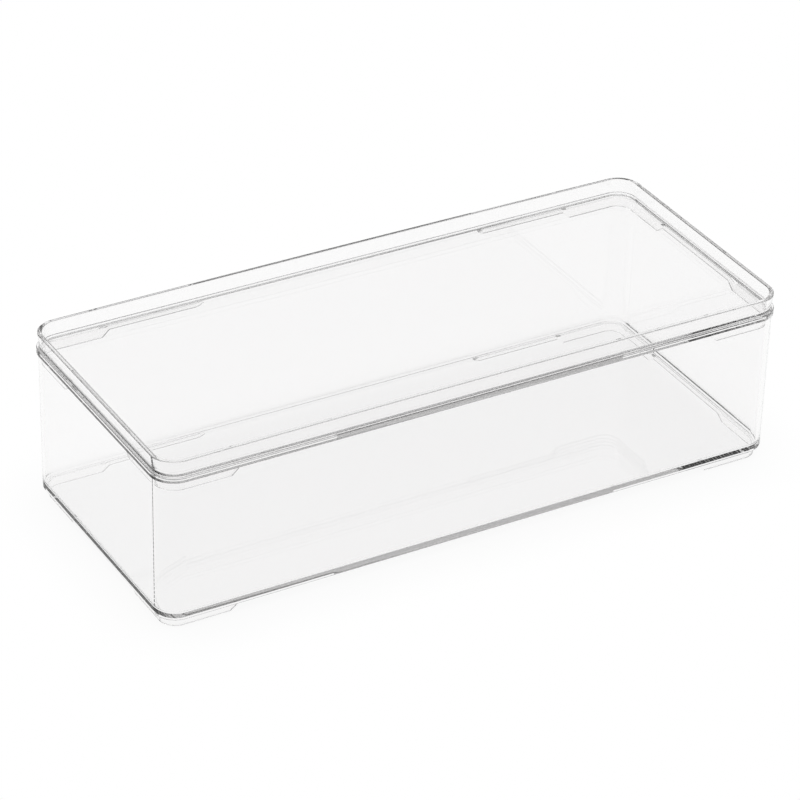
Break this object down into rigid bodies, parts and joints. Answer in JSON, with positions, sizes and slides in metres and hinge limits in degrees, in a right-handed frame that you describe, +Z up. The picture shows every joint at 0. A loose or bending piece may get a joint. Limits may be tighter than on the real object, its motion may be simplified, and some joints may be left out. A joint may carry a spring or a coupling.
{
  "type": "storage box with lid",
  "caption": "Long low rectangular clear plastic storage box with rounded corners, corner feet and a flat lift-off lid whose raised rim lets boxes stack.",
  "frame": {"origin": "on the surface that the feet stand on, under the centre of the box", "axes": "+X along the length to the right, +Y from the front long side to the back, +Z up out of the box"},
  "size_m": [0.305, 0.129, 0.0834],
  "materials": {
    "clear_base": "polished clear",
    "clear_lid": "polished clear"
  },
  "bodies": {
    "base": {"base": "clear_base"},
    "lid": {"lid": "clear_lid"}
  },
  "joints": [
    {"name": "lid_lift", "type": "slide", "parent": "base", "child": "lid", "axis": [0, 0, 1], "range_m": [0, 0.1]}
  ]
}
